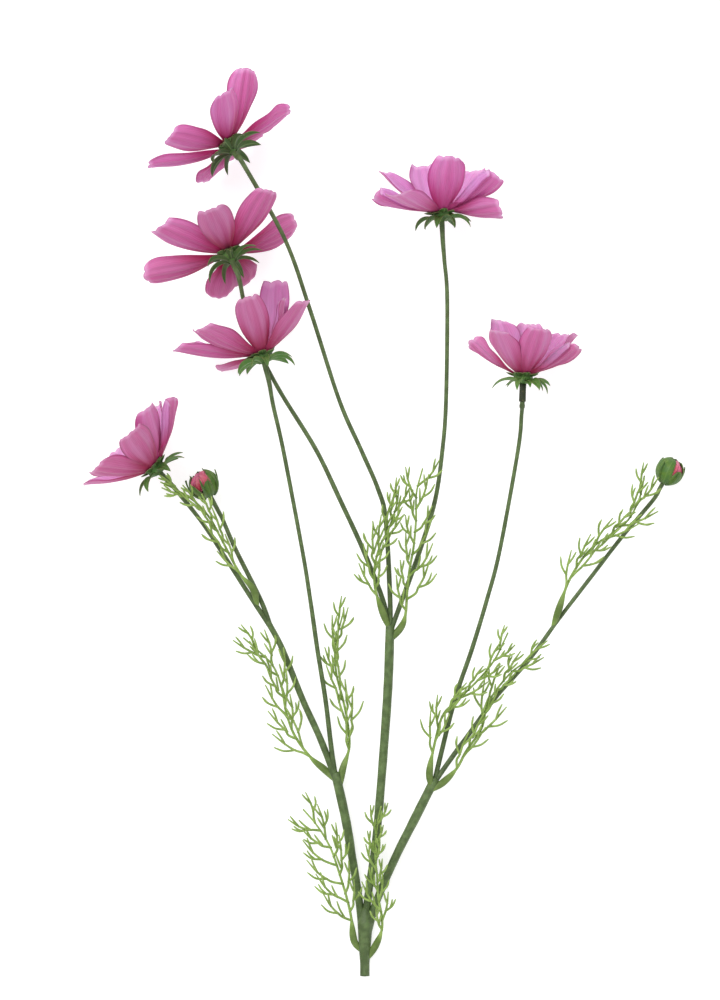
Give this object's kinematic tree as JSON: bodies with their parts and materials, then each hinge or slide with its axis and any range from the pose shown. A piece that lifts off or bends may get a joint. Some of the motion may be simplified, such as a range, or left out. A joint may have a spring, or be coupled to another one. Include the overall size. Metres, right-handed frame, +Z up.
{
  "type": "cut cosmos flower spray",
  "caption": "Cut branched spray of pink garden cosmos lying down: open bowl-shaped blooms, buds and thread leaves on one slender green stem.",
  "frame": {"origin": "on the flat underside of the stem, 10.5 mm from its cut end, at the level of the surface the spray lies on", "axes": "+X across the spray to the right as seen from above, +Y along the spray from the cut end towards the flowers, +Z up off the surface"},
  "size_m": [0.3317, 0.5007, 0.0868],
  "materials": {
    "petal": "matte",
    "calyx": "matte",
    "disc": "matte",
    "stem": "satin",
    "leaf": "satin"
  },
  "bodies": {
    "root": {"flower_1_petals": "petal", "flower_1_calyx": "calyx", "flower_1_disc": "disc", "flower_2_petals": "petal", "flower_2_calyx": "calyx", "flower_2_disc": "disc", "flower_3_petals": "petal", "flower_3_calyx": "calyx", "flower_3_disc": "disc", "flower_4_petals": "petal", "flower_4_calyx": "calyx", "flower_4_disc": "disc", "flower_5_petals": "petal", "flower_5_calyx": "calyx", "flower_5_disc": "disc", "flower_6_petals": "petal", "flower_6_calyx": "calyx", "flower_6_disc": "disc", "bud_1_sepals": "calyx", "bud_1_petals": "petal", "bud_2_sepals": "calyx", "bud_2_petals": "petal", "leaf_base_left": "leaf", "leaf_base_middle": "leaf", "leaf_left_fork_left": "leaf", "leaf_left_fork_right": "leaf", "leaf_middle_fork_left": "leaf", "leaf_middle_fork_right": "leaf", "leaf_right_fork_left": "leaf", "leaf_right_fork_right": "leaf", "leaf_bud_stalk": "leaf", "leaf_flower_4_stalk": "leaf", "stem": "stem"}
  },
  "joints": []
}
